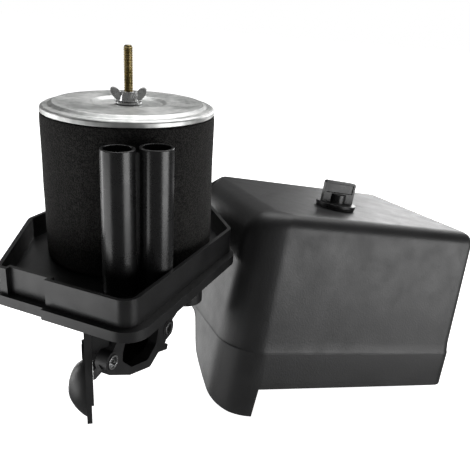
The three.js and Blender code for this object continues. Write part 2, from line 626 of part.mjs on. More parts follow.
// locating ribs that stand on the tray's lip
for (const [x, y, a] of [[-40, -d2 + 7.2, 0], [50, -d2 + 7.2, 0], [-30, d2 - 7.2, 0], [55, d2 - 7.2, 0], [w2 - 7.2, -20, 1], [w2 - 7.2, 40, 1], [-w2 + 7.2, -20, 1]]) {
  const l = 10.5;
  shell = join(shell, a ? box(x - l / 2, y - 1.2, 8, x + l / 2, y + 1.2, 64).intersect(loft(outerLevels)) : box(x - 1.2, y - l / 2, 8, x + 1.2, y + l / 2, 64).intersect(loft(outerLevels)));
}
// boss and hole for the knob
shell = join(shell, cyl(11, COVER_H - 9, COVER_H - 1, ...KNOB_AT, 28));
shell = cut(shell, cyl(7.4, COVER_H - 12, COVER_H + 2, ...KNOB_AT, 28));
add(cover, "dust_cover", shell, PLASTIC_TEX);

// ---------------------------------------------------------------- clamping knob
const knob = new THREE.Group();
knob.position.set(KNOB_AT[0], KNOB_AT[1], COVER_H);
knob.rotation.z = THREE.MathUtils.degToRad(-8);
cover.add(knob);
add(knob, "knob_washer", ring(8, 15, 0.3, 1.5, 32), RUBBER);
{
  let k = join(cyl(15.6, 1.8, 4.2, 0, 0, 36), cyl(6.6, 4, 11, 0, 0, 28));
  // stem through the cover's hole
  k = join(k, cyl(6.8, -12.6, 2.5, 0, 0, 28));
  const g = new THREE.ExtrudeGeometry(new THREE.Shape(rounded([[-12.8, 3.6, 0.8], [12.8, 3.6, 0.8], [12.8, 21, 2], [-12.8, 21, 2]], 3)), { depth: 4.4, bevelEnabled: false });
  g.translate(0, 0, -2.2);
  g.applyMatrix4(new THREE.Matrix4().makeBasis(
    new THREE.Vector3(1, 0, 0), new THREE.Vector3(0, 0, 1), new THREE.Vector3(0, -1, 0)));
  k = join(k, oriented(g));
  for (const s of [-1, 1]) k = cut(k, box(-10.9, s > 0 ? 1.4 : -3, 12.2, 10.9, s > 0 ? 3 : -1.4, 19));
  k = cut(k, cyl(4.6, -14, 7.2, 0, 0, 24));
  // groove for the retaining clip
  k = cut(k, cut(cyl(8, -11.6, -10, 0, 0, 28), cyl(5.9, -12, -9, 0, 0, 28)));
  add(knob, "cover_knob", k, PLASTIC_GLOSS);
}
add(knob, "knob_thread_insert", ring(STUD_R + 0.25, 4.3, -11.5, 6.5, 24), BRASS);
add(cover, "knob_retaining_clip", lathe([[6.2, -11.3], [10.4, -11.3], [10.4, -10.3], [6.2, -10.3], [6.2, -11.3]], 28)
  .translate([KNOB_AT[0], KNOB_AT[1], COVER_H]), ZINC);

export default G;
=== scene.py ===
# Looks of the air filter housing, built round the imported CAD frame. Metres, row frame.
import json
import math

import bmesh
import bpy
import numpy as np
from mathutils import Matrix, Vector, noise


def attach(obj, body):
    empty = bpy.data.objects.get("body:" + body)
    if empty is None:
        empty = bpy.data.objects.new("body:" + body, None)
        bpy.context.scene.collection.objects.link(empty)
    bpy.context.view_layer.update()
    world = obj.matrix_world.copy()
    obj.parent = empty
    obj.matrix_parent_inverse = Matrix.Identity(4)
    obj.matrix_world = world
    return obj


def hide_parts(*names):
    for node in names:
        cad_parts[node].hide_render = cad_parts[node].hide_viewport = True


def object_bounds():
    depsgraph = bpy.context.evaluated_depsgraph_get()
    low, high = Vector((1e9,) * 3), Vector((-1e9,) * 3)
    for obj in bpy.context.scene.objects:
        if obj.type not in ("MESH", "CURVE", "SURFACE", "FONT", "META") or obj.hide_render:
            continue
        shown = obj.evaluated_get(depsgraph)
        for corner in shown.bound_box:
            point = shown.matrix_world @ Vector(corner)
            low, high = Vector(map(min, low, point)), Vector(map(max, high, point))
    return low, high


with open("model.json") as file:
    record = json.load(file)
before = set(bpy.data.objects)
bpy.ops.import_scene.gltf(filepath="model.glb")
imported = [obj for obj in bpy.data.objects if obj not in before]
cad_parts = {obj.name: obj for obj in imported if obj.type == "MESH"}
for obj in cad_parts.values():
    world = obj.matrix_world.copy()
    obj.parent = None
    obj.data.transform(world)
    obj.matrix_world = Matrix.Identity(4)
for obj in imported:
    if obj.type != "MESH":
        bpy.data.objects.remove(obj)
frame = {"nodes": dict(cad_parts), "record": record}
cad_lo, cad_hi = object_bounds()
BODY = {n: b for b, ns in frame["record"]["behaviour"]["bodies"].items() for n in ns}
SLOT = {s["node"]: s["material_slot"] for s in frame["record"]["subparts"]}
scene = bpy.context.scene

# ---------------------------------------------------------------- frames
PORT = Vector((45, -57, -33))  # row origin in the working frame, mm
COVER_POS = Vector((95.4, 118.3, -114.1))
COVER_TURN = [math.radians(a) for a in (43.8, 9.5, -4.6)]
COVER_R = (
    Matrix.Rotation(COVER_TURN[0], 4, "Z")
    @ Matrix.Rotation(COVER_TURN[1], 4, "Y")
    @ Matrix.Rotation(COVER_TURN[2], 4, "X")
)
TO_ROW = Matrix.Scale(0.001, 4) @ Matrix.Translation(-PORT)
COVER_M = TO_ROW @ Matrix.Translation(COVER_POS) @ COVER_R
COVER_H = 128.8
KNOB_AT = (-9.0, -24.0)
KNOB_M = COVER_M @ Matrix.Translation(Vector((KNOB_AT[0], KNOB_AT[1], COVER_H))) @ Matrix.Rotation(math.radians(-8), 4, "Z")


# ---------------------------------------------------------------- materials
class Mat:
    def __init__(self, name):
        self.m = bpy.data.materials.new(name)
        self.m.use_nodes = True
        self.t = self.m.node_tree
        self.b = next(n for n in self.t.nodes if n.type == "BSDF_PRINCIPLED")
        self.co = self.t.nodes.new("ShaderNodeTexCoord").outputs["Object"]

    def n(self, kind, **inputs):
        node = self.t.nodes.new(kind)
        for k, v in inputs.items():
            if k.startswith("_"):
                setattr(node, k[1:], v)
            elif hasattr(v, "is_linked"):
                self.t.links.new(v, node.inputs[k.replace("__", " ")])
            else:
                node.inputs[k.replace("__", " ")].default_value = v
        return node

    def noise(self, scale, detail=3.0, rough=0.5, vector=None, distortion=0.0):
        nd = self.n("ShaderNodeTexNoise", Scale=scale, Detail=detail, Roughness=rough, Distortion=distortion)
        self.t.links.new(vector or self.co, nd.inputs["Vector"])
        return nd.outputs["Fac"]

    def voronoi(self, scale, vector=None, feature="F1"):
        nd = self.n("ShaderNodeTexVoronoi", _feature=feature, Scale=scale)
        self.t.links.new(vector or self.co, nd.inputs["Vector"])
        return nd.outputs["Distance"]

    def span(self, fac, a, b, lo=0.0, hi=1.0):
        nd = self.n("ShaderNodeMapRange")
        self.t.links.new(fac, nd.inputs["Value"])
        for k, v in (("From Min", a), ("From Max", b), ("To Min", lo), ("To Max", hi)):
            nd.inputs[k].default_value = v
        return nd.outputs["Result"]

    def ramp(self, fac, *stops):
        nd = self.n("ShaderNodeValToRGB")
        self.t.links.new(fac, nd.inputs["Fac"])
        el = nd.color_ramp.elements
        while len(el) < len(stops):
            el.new(0.5)
        for e, (p, c) in zip(el, stops):
            e.position = p
            e.color = (*c, 1) if len(c) == 3 else c
        return nd.outputs["Color"]

    def mul(self, a, b, op="MULTIPLY"):
        nd = self.n("ShaderNodeMath", _operation=op)
        for i, v in enumerate((a, b)):
            if hasattr(v, "is_linked"):
                self.t.links.new(v, nd.inputs[i])
            else:
                nd.inputs[i].default_value = v
        return nd.outputs["Value"]

    def bump(self, height, strength, distance, normal=None):
        nd = self.n("ShaderNodeBump")
        nd.inputs["Strength"].default_value = strength
        nd.inputs["Distance"].default_value = distance
        self.t.links.new(height, nd.inputs["Height"])
        if normal is not None:
            self.t.links.new(normal, nd.inputs["Normal"])
        return nd.outputs["Normal"]

    def to(self, socket, value):
        if hasattr(value, "is_linked"):
            self.t.links.new(value, self.b.inputs[socket])
        else:
            self.b.inputs[socket].default_value = value

    def polar(self, cx, cy):
        """Radius and angle round a vertical axis, from object coordinates."""
        sep = self.n("ShaderNodeSeparateXYZ")
        self.t.links.new(self.co, sep.inputs[0])
        x = self.mul(sep.outputs[0], cx, "SUBTRACT")
        y = self.mul(sep.outputs[1], cy, "SUBTRACT")
        r = self.mul(self.mul(self.mul(x, x), self.mul(y, y), "ADD"), 0.5, "POWER")
        return r, self.mul(y, x, "ARCTAN2"), sep.outputs[2]


def g(v):
    return (v, v, v * 1.03)


def plastic(name, low, high, rough, grain, grain_h, scuff=0.5, pebble=0.0):
    m = Mat(name)
    big, mid, fine = m.noise(9, 4, 0.6), m.noise(70, 5, 0.6), m.noise(grain, 3, 0.55)
    streak = m.noise(28, 6, 0.65, distortion=1.2)
    col = m.ramp(m.mul(m.mul(big, 0.6), m.mul(mid, 0.4), "ADD"), (0.34, g(low)), (0.66, g(high)))
    m.to("Base Color", col)
    r = m.mul(m.span(mid, 0.3, 0.7, rough - 0.04, rough + 0.06), m.span(streak, 0.52, 0.75, 0.0, 0.10 * scuff), "ADD")
    m.to("Roughness", m.mul(r, m.span(fine, 0.3, 0.7, -0.02, 0.03), "ADD"))
    nrm = m.bump(m.noise(22, 2, 0.4), 0.12, 0.0003)  # slight waviness of a moulding
    if pebble:
        nrm = m.bump(m.voronoi(pebble, feature="SMOOTH_F1"), 0.55, 0.00011, nrm)
    m.to("Normal", m.bump(fine, 0.5, grain_h, nrm))
    m.to("Specular IOR Level", 0.5)
    return m.m


def metal(name, a, b, rough, grain=900, grain_h=0.00002, patch=60, metallic=1.0):
    m = Mat(name)
    big, mid, fine = m.noise(patch, 5, 0.6), m.noise(patch * 5, 4, 0.6), m.noise(grain, 3, 0.6)
    m.to("Base Color", m.ramp(m.mul(m.mul(big, 0.6), m.mul(mid, 0.4), "ADD"), (0.35, a), (0.65, b)))
    m.to("Roughness", m.mul(m.span(mid, 0.3, 0.7, rough - 0.07, rough + 0.1), m.span(fine, 0.3, 0.7, -0.03, 0.04), "ADD"))
    m.to("Metallic", metallic)
    m.to("Normal", m.bump(fine, 0.4, grain_h))
    return m.m


def cap_metal(name):
    """Pressed sheet, dull silver: faint turned lines round the axis, spangle and handling smudges."""
    m = Mat(name)
    r, ang, z = m.polar((0 - PORT.x) / 1000, (0 - PORT.y) / 1000)
    comb = m.n("ShaderNodeCombineXYZ")
    m.t.links.new(m.mul(r, 1.0), comb.inputs[0])
    m.t.links.new(m.mul(ang, 0.0022), comb.inputs[1])
    m.t.links.new(z, comb.inputs[2])
    lines = m.noise(1500, 3, 0.6, vector=comb.outputs[0])
    comb2 = m.n("ShaderNodeCombineXYZ")
    m.t.links.new(m.mul(ang, 0.057), comb2.inputs[0])
    m.t.links.new(m.mul(z, 0.12), comb2.inputs[1])
    side = m.noise(330, 4, 0.65, vector=comb2.outputs[0])
    smear, spangle = m.noise(30, 6, 0.7, distortion=0.8), m.voronoi(210)
    mix = m.mul(m.mul(smear, 0.55), m.mul(lines, 0.2), "ADD")
    mix = m.mul(mix, m.mul(spangle, 0.25), "ADD")
    m.to("Base Color", m.ramp(mix, (0.26, (0.40, 0.41, 0.40)), (0.46, (0.56, 0.57, 0.56)), (0.62, (0.70, 0.70, 0.69))))
    m.to("Metallic", 1.0)
    m.to("Roughness", m.mul(m.span(smear, 0.3, 0.72, 0.36, 0.54), m.span(lines, 0.3, 0.7, -0.05, 0.05), "ADD"))
    nrm = m.bump(lines, 0.3, 0.00002)
    nrm = m.bump(side, 0.5, 0.00012, nrm)
    m.to("Normal", m.bump(smear, 0.3, 0.0003, nrm))
    return m.m


def foam_mat(name):
    m = Mat(name)
    cells, cells2, big = m.voronoi(1150), m.voronoi(2100), m.noise(24, 5, 0.6)
    dust = m.noise(360, 5, 0.75)
    mix = m.mul(m.mul(cells, 0.55), m.mul(dust, 0.45), "ADD")
    m.to("Base Color", m.ramp(mix, (0.25, g(0.0018)), (0.43, g(0.005)), (0.6, (0.020, 0.0195, 0.0185))))
    m.to("Roughness", m.span(big, 0.3, 0.7, 0.88, 1.0))
    nrm = m.bump(cells, 0.9, 0.0005)
    nrm = m.bump(cells2, 0.7, 0.0003, nrm)
    m.to("Normal", m.bump(big, 0.15, 0.0005, nrm))
    m.to("Specular IOR Level", 0.12)
    m.to("Sheen Weight", 0.05)
    m.to("Sheen Roughness", 0.5)
    m.to("Sheen Tint", (0.6, 0.58, 0.55, 1))
    return m.m


def paper_mat(name):
    m = Mat(name)
    fib, big = m.noise(700, 5, 0.7), m.noise(40, 4, 0.6)
    m.to("Base Color", m.ramp(m.mul(m.mul(fib, 0.5), m.mul(big, 0.5), "ADD"), (0.35, (0.50, 0.37, 0.18)), (0.65, (0.66, 0.52, 0.30))))
    m.to("Roughness", m.span(fib, 0.3, 0.7, 0.8, 0.95))
    m.to("Normal", m.bump(fib, 0.6, 0.0001))
    return m.m


def yellow_mat(name):
    """Yellow passivated zinc: gold with olive, pink and dull patches, with painted shade darkening the thread's roots.
    """
    m = Mat(name)
    r, ang, z = m.polar((0 - PORT.x) / 1000, (0 - PORT.y) / 1000)
    patch, mid = m.noise(120, 4, 0.6), m.noise(420, 4, 0.6)
    col = m.ramp(patch, (0.3, (0.30, 0.25, 0.10)), (0.45, (0.50, 0.40, 0.17)), (0.58, (0.62, 0.50, 0.25)), (0.72, (0.48, 0.33, 0.20)))
    dark = m.n("ShaderNodeMix", _data_type="RGBA", _blend_type="MULTIPLY")
    m.t.links.new(col, dark.inputs["A"])
    shade = m.n("ShaderNodeCombineColor")
    # painted shade: the colour darkens towards the thread's roots, by radius from the stud's axis
    painted_root_shade = m.span(r, 0.00240, 0.00290, 0.35, 1.0)
    for i in range(3):
        m.t.links.new(painted_root_shade, shade.inputs[i])
    dark.inputs["Factor"].default_value = 1.0
    m.t.links.new(shade.outputs[0], dark.inputs["B"])
    m.to("Base Color", dark.outputs["Result"])
    m.to("Metallic", 1.0)
    m.to("Roughness", m.span(mid, 0.3, 0.7, 0.28, 0.46))
    m.to("Normal", m.bump(mid, 0.3, 0.00003))
    return m.m


def screen_mat(name):
    """Perforated sheet: staggered holes drawn as dark dimples, their darkness painted shade."""
    m = Mat(name)
    cells = m.voronoi(420)
    hole = m.span(cells, 0.28, 0.36, 0.0, 1.0)
    # painted shade: the holes are coloured near-black for the shade seen through the openings
    m.to("Base Color", m.ramp(hole, (0.0, (0.02, 0.02, 0.02)), (1.0, (0.58, 0.59, 0.6))))
    m.to("Metallic", hole)
    m.to("Roughness", m.span(m.noise(200, 3), 0.3, 0.7, 0.3, 0.45))
    m.to("Normal", m.bump(hole, 0.8, 0.0004))
    return m.m


MATS = {
    "tray_plastic": plastic("tray_plastic", 0.0065, 0.011, 0.34, 1500, 0.00003, 0.7),
    "tube_plastic": plastic("tube_plastic", 0.0045, 0.008, 0.27, 1500, 0.00002, 0.4),
    "elbow_plastic": plastic("elbow_plastic", 0.008, 0.014, 0.42, 1300, 0.00004, 0.8),
    "cover_plastic": plastic("cover_plastic", 0.009, 0.014, 0.42, 1700, 0.00005, 0.5, pebble=900),
    "knob_plastic": plastic("knob_plastic", 0.006, 0.010, 0.29, 1400, 0.00002, 0.4),
    "rubber": plastic("rubber", 0.007, 0.012, 0.68, 900, 0.00006, 0.3),
    "foam": foam_mat("foam"),
    "paper_media": paper_mat("paper_media"),
    "cap_metal": cap_metal("cap_metal"),
    "black_steel": metal("black_steel", (0.018, 0.018, 0.02), (0.035, 0.035, 0.036), 0.42, metallic=0.6),
    "zinc_steel": metal("zinc_steel", (0.56, 0.57, 0.58), (0.78, 0.78, 0.77), 0.28),
    "stud_zinc": yellow_mat("stud_zinc"),
    "brass_insert": metal("brass_insert", (0.55, 0.38, 0.13), (0.72, 0.52, 0.22), 0.3),
    "screen": screen_mat("screen"),
}


# ---------------------------------------------------------------- mesh helpers
def finish_mesh(ob, angle=32.0, weighted=True):
    me = ob.data
    me.shade_smooth()
    me.set_sharp_from_angle(angle=math.radians(angle))
    if weighted:
        w = ob.modifiers.new("normals", "WEIGHTED_NORMAL")
        w.keep_sharp = True
        w.weight = 60


def bake(ob):
    """Puts the modifiers' result into the mesh."""
    dg = bpy.context.evaluated_depsgraph_get()
    dg.update()
    new = bpy.data.meshes.new_from_object(ob.evaluated_get(dg), depsgraph=dg)
    ob.modifiers.clear()
    old = ob.data
    ob.data = new
    new.name = ob.name
    if old.users == 0:
        bpy.data.meshes.remove(old)


def object_of(name, bm):
    me = bpy.data.meshes.new(name)
    bmesh.ops.recalc_face_normals(bm, faces=bm.faces)
    bm.to_mesh(me)
    bm.free()
    ob = bpy.data.objects.new(name, me)
    scene.collection.objects.link(ob)
    return ob


def place(ob, nodes, mat=None):
    body = BODY[nodes[0]]
    ob.data.materials.clear()
    ob.data.materials.append(MATS[mat or SLOT[nodes[0]]])
    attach(ob, body)
    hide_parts(*nodes)
    return ob


def bevelled(ob, width, segments=2, angle=38.0):
    b = ob.modifiers.new("edge", "BEVEL")
    b.width = width / 1000
    b.segments = segments
    b.limit_method = "ANGLE"
    b.angle_limit = math.radians(angle)
    b.use_clamp_overlap = True
    b.miter_outer = "MITER_ARC"
    bake(ob)


def carry(node, name, bevel=0.3, segments=2, angle=38.0, shade=32.0, mat=None):
    """A cleaned copy of a CAD node with rounded edges and smooth curves, which stands for it."""
    bm = bmesh.new()
    bm.from_mesh(frame["nodes"][node].data)
    bmesh.ops.remove_doubles(bm, verts=bm.verts, dist=4e-6)
    bmesh.ops.dissolve_degenerate(bm, dist=4e-6, edges=bm.edges)
    bmesh.ops.dissolve_limit(bm, angle_limit=math.radians(0.6), verts=bm.verts, edges=bm.edges)
    ob = object_of(name, bm)
    if bevel:
        bevelled(ob, bevel, segments, angle)
    finish_mesh(ob, shade)
    return place(ob, [node], mat)


def rounded(corners, fractions):
    """Outline with one radius per corner; fractions[i] are the steps round corner i."""
    pts = []
    n = len(corners)
    for i in range(n):
        px, py = corners[i - 1][:2]
        x, y, r = corners[i]
        nx, ny = corners[(i + 1) % n][:2]
        a = Vector((px - x, py - y)).normalized()
        b = Vector((nx - x, ny - y)).normalized()
        half = math.acos(max(-1, min(1, a.dot(b)))) / 2
        t = r / math.tan(half)
        c = Vector((x, y)) + (a + b).normalized() * (r / math.sin(half))
        p0 = Vector((x, y)) + a * t
        p1 = Vector((x, y)) + b * t
        a0 = math.atan2(p0.y - c.y, p0.x - c.x)
        da = math.atan2(p1.y - c.y, p1.x - c.x) - a0
        da = (da + math.pi) % (2 * math.pi) - math.pi
        pts.append([Vector((c.x + r * math.cos(a0 + da * k), c.y + r * math.sin(a0 + da * k))) for k in fractions[i]])
    return pts


def inset(corners, ds):
    n = len(corners)
    out = []
    for i, (x, y, r) in enumerate(corners):
        px, py = corners[i - 1][:2]
        nx, ny = corners[(i + 1) % n][:2]
        e0 = Vector((x - px, y - py)).normalized()
        e1 = Vector((nx - x, ny - y)).normalized()
        n0, n1 = Vector((-e0.y, e0.x)), Vector((-e1.y, e1.x))
        d0, d1 = ds[i - 1], ds[i]
        det = n0.x * n1.y - n0.y * n1.x
        c0, c1 = n0.dot(Vector((x, y))) + d0, n1.dot(Vector((x, y))) + d1
        out.append(((c0 * n1.y - c1 * n0.y) / det, (n0.x * c1 - n1.x * c0) / det, max(0.6, r - (d0 + d1) / 2)))
    return out


def skin(name, rings, matrix, close_ends=True, wrap=False):
    """Quads through a stack of equal rings of points."""
    bm = bmesh.new()
    rows = [[bm.verts.new(matrix @ Vector(p)) for p in ring] for ring in rings]
    n = len(rows[0])
    pairs = list(zip(rows, rows[1:])) + ([(rows[-1], rows[0])] if wrap else [])
    for a, b in pairs:
        for i in range(n):
            j = (i + 1) % n
            try:
                bm.faces.new((a[i], a[j], b[j], b[i]))
            except ValueError:
                pass
    if close_ends and not wrap:
        bm.faces.new(list(reversed(rows[0])))
        bm.faces.new(rows[-1])
    bmesh.ops.remove_doubles(bm, verts=bm.verts, dist=2e-7)
    bmesh.ops.dissolve_degenerate(bm, dist=2e-7, edges=bm.edges)
    return object_of(name, bm)


def turned(name, profile, segments, matrix, closed=True, wobble=None):
    """Surface of revolution about the local Z axis; profile is [r, z]."""
    rings = []
    for r, z in profile:
        ring = []
        for i in range(segments):
            w = 2 * math.pi * i / segments
            rr, zz = (r, z) if wobble is None else wobble(r, z, w)
            ring.append((rr * math.cos(w), rr * math.sin(w), zz))
        rings.append(ring)
    return skin(name, rings, matrix, close_ends=not closed, wrap=closed)


def arc_profile(points, radii, steps=4):
    """Open or closed profile with its corners rounded: points with one radius each."""
    n = len(points)
    out = []
    for i, (p, r) in enumerate(zip(points, radii)):
        if not r:
            out.append(tuple(p))
            continue
        q, s = Vector(points[i - 1]), Vector(points[(i + 1) % n])
        p = Vector(p)
        a, b = (q - p).normalized(), (s - p).normalized()
        half = math.acos(max(-1, min(1, a.dot(b)))) / 2
        t = min(r / math.tan(half), (q - p).length * 0.49, (s - p).length * 0.49)
        r2 = t * math.tan(half)
        c = p + (a + b).normalized() * (r2 / math.sin(half))
        p0, p1 = p + a * t, p + b * t
        a0 = math.atan2(p0.y - c.y, p0.x - c.x)
        da = (math.atan2(p1.y - c.y, p1.x - c.x) - a0 + math.pi) % (2 * math.pi) - math.pi
        out += [(c.x + r2 * math.cos(a0 + da * k / steps), c.y + r2 * math.sin(a0 + da * k / steps)) for k in range(steps + 1)]
    return out


def boolean(ob, tool, op):
    m = ob.modifiers.new("bool", "BOOLEAN")
    m.operation = op
    m.object = tool
    try:
        m.solver = "MANIFOLD"
    except TypeError:
        m.solver = "EXACT"
    bake(ob)
    bpy.data.objects.remove(tool)


def block(name, lo, hi, matrix):
    bm = bmesh.new()
    bmesh.ops.create_cube(bm, size=1)
    for v in bm.verts:
        v.co = matrix @ Vector([(a + b) / 2 + c * (b - a) for a, b, c in zip(lo, hi, v.co)])
    return object_of(name, bm)


# ---------------------------------------------------------------- filter element
def foam_piece():
    R0, R1, Z0, Z1 = 46.15, 55.3, 0.75, 94.2
    side = [(R1, Z0 + 2 + (Z1 - Z0 - 3.2) * k / 64) for k in range(65)]
    prof = [(R0, Z0 + 0.8), (R0 + 0.8, Z0), (R1 - 2.2, Z0), (R1 - 0.7, Z0 + 0.5)] + side + [
        (R1 - 0.3, Z1 - 0.5), (R1 - 1.0, Z1), (R0 + 0.8, Z1), (R0, Z1 - 0.8)] + [
        (R0, Z1 - 0.8 - (Z1 - Z0 - 1.6) * k / 8) for k in range(1, 8)]

    def wobble(r, z, w):
        if r < R1 - 3:
            return r, z
        p = Vector((math.cos(w) * 2.2, math.sin(w) * 2.2, z / 42))
        d = 0.34 * noise.noise(p) + 0.16 * noise.noise(p * 3.3) + 0.075 * noise.noise(p * 19)
        pinch = 0.35 * math.exp(-((z - Z1) / 3.0) ** 2)  # the cap's rim nips the sleeve
        return r + max(-0.5, min(0.15, d - 0.12)) - pinch, z + 0.18 * noise.noise(p * 2.1) * (1 if 2 < z < 93 else 0.2)

    ob = turned("foam_wrap", prof, 300, TO_ROW, wobble=wobble)
    finish_mesh(ob, 60)
    place(ob, ["foam_sleeve"])


def cap_piece():
    pts = [(5.4, 98.9), (21.5, 98.9), (24.2, 100.6), (47.6, 100.6), (50.2, 98.9), (53.4, 98.6), (54.9, 97.6), (54.9, 94.6),
           (54.0, 94.6), (53.8, 97.0), (53.0, 97.6), (49.7, 97.9), (47.2, 99.6), (24.6, 99.6), (21.9, 97.8), (5.4, 97.8)]
    rad = [0.25, 1.6, 1.6, 1.5, 1.8, 1.6, 1.2, 0.4, 0.4, 0.6, 0.8, 1.0, 1.0, 0.8, 0.8, 0.25]
    prof = arc_profile(pts, rad, 6)

    def wobble(r, z, w):
        if r < 10:
            return r, z
        p = Vector((math.cos(w) * r / 26, math.sin(w) * r / 26, 0.3))
        q = Vector((math.cos(w) * 9, math.sin(w) * 9, z / 3))
        dz = 0.10 * noise.noise(p)
        dr = 0.0 if r < 52 else 0.12 * noise.noise(q) - 0.05
        return r + dr, z + dz - 0.06

    ob = turned("element_cap_sheet", prof, 256, TO_ROW, wobble=wobble)
    finish_mesh(ob, 28)
    place(ob, ["element_top_cap"])


def stud_piece():
    """M6 stud: rolled thread at both ends, plain shank between."""
    seg, pitch, rc, rr = 32, 1.0, 2.98, 2.42
    rings = []

    def threaded(z0, z1):
        j = math.floor((z0 - pitch) / pitch)
        while j * pitch < z1 + pitch:
            for off, r in ((0.0, rr), (0.12, rr), (0.44, rc), (0.56, rc), (0.88, rr)):
                ring = []
                for i in range(seg):
                    w = 2 * math.pi * i / seg
                    z = (j + off + i / seg) * pitch
                    zc = min(max(z, z0), z1)
                    rad = r
                    edge = min(zc - z0, z1 - zc)
                    if z != zc:
                        rad = rr
                    elif edge < 0.8:
                        rad = rr + (r - rr) * edge / 0.8
                    ring.append((rad * math.cos(w), rad * math.sin(w), zc))
                rings.append(ring)
            j += 1

    def plain(r, z):
        rings.append([(r * math.cos(2 * math.pi * i / seg), r * math.sin(2 * math.pi * i / seg), z) for i in range(seg)])

    plain(1.9, -14.0)
    plain(2.4, -13.5)
    threaded(-13.4, 11.0)
    plain(2.68, 11.6)
    plain(2.68, 88.0)
    threaded(88.6, 134.4)
    plain(2.35, 134.55)
    plain(1.85, 135.0)
    ob = skin("stud_thread", rings, TO_ROW)
    finish_mesh(ob, 50, weighted=False)
    place(ob, ["centre_stud"])


def wing_nut_piece():
    bm = bmesh.new()
    bm.from_mesh(frame["nodes"]["wing_nut"].data)
    bmesh.ops.remove_doubles(bm, verts=bm.verts, dist=4e-6)
    ob = object_of("wing_nut_cast", bm)
    r = ob.modifiers.new("r", "REMESH")
    r.mode = "VOXEL"
    r.voxel_size = 0.00022
    s = ob.modifiers.new("s", "SMOOTH")
    s.factor = 0.5
    s.iterations = 5
    bake(ob)
    finish_mesh(ob, 60, weighted=False)
    place(ob, ["wing_nut"])


# ---------------------------------------------------------------- intake tubes
def tubes_piece():
    ends = [((33.5, -61.7), 0.0), ((49.0, -46.6), 0.4)]
    parts = []
    for k, ((x, y), _) in enumerate(ends):
        pts = [(8.0, -5.2), (9.9, -5.2), (9.98, 20), (9.75, 87.0), (8.0, 87.0)]
        prof = arc_profile(pts, [0.3, 0.3, 0, 0.5, 0.5], 4)
        parts.append(turned("tube_%d" % k, prof, 96, TO_ROW @ Matrix.Translation(Vector((x, y, 0)))))
    a = math.atan2(15.1, 15.5)
    m = TO_ROW @ Matrix.Translation(Vector((41.25, -54.15, 0))) @ Matrix.Rotation(a, 4, "Z")
    web = block("web", (-2.4, -1.3, 0.5), (2.4, 1.3, 84.0), m)
    ob = parts[0]
    ob.name = "intake_tubes"
    boolean(ob, parts[1], "UNION")
    boolean(ob, web, "UNION")
    finish_mesh(ob, 35)
    place(ob, ["intake_tube_pair"])


# ---------------------------------------------------------------- cover
W2, D2, WALL, TAPER, BAND = 100.0, 78.0, 2.6, 5.4, 28.5
CORNERS = [(W2, -D2, 12), (W2, D2, 14), (-W2 + 42, D2, 16), (-W2, -D2 + 92, 16), (-W2, -D2, 30)]
TOP_CORNERS = [(W2, -D2, 12), (W2, D2, 14), (-W2 + 22, D2, 14), (-W2, -D2 + 120, 14), (-W2, -D2, 30)]
EDGES = [10, 10, 10, 20, 10]
STEPS = [[k / 12 for k in range(13)] for _ in range(4)] + [[0.9 * k / 16 for k in range(17)] + [0.9256, 0.9575, 1.0]]
SUB = [10, 12, 8, 26, 14]


def ring_points(corners, heights):
    """Corner arcs and the points between them; heights(i, k) gives z from corner index and step."""
    arcs = rounded(corners, STEPS)
    out = []
    for i, arc in enumerate(arcs):
        zs = [heights(i, f) for f in STEPS[i]]
        out += [Vector((p.x, p.y, z)) for p, z in zip(arc, zs)]
        nxt = arcs[(i + 1) % len(arcs)][0]
        z1 = heights((i + 1) % len(arcs), 0.0)
        for k in range(1, SUB[i] + 1):
            t = k / (SUB[i] + 1)
            out.append(Vector((arc[-1].x * (1 - t) + nxt.x * t, arc[-1].y * (1 - t) + nxt.y * t, zs[-1] * (1 - t) + z1 * t)))
    return out


def corners_at(z):
    """The cut corner leans, so the outline's corners shift with height."""
    t = min(1.0, max(0.0, z / COVER_H))
    return [tuple(a * (1 - t) + b * t for a, b in zip(c, e)) for c, e in zip(CORNERS, TOP_CORNERS)]


def flat_ring(d, z, level=None):
    return ring_points(inset(corners_at(z if level is None else level), [d] * 5), lambda i, f: z)


CONTOUR_Y = [-78, -71, -62, -48, -35, -22, -14, -9, -4, 1, 6, 80]
CONTOUR_Z = [-22, -21.4, -19.2, -15.3, -11, -5.6, -1, 5.2, 14, 22, 25, 25]


def lower_edge(base):
    """Height of the cover's lower edge at a point of its outline."""
    if base.x < -73.2:
        return float(np.interp(base.y, CONTOUR_Y, CONTOUR_Z))
    if base.x < -61.5 and base.y > 0:
        return 25.0
    return 0.0


def edge_ring(start, swing, w, top):
    radii = [max(e - w, 1) for e in EDGES]
    base = inset(corners_at(COVER_H), [start] * 5)
    moved = inset(base, [e * (1 - math.cos(swing)) for e in radii])
    fixed = []
    for i, (x, y, _) in enumerate(moved):
        e = (radii[i] + radii[i - 1]) / 2
        fixed.append((x, y, max(2.5, base[i][2] - e * (1 - math.cos(swing)))))

    def z(i, f):
        e = radii[i - 1] * (1 - f) + radii[i] * f
        return top - e + e * math.sin(swing)

    return ring_points(fixed, z)


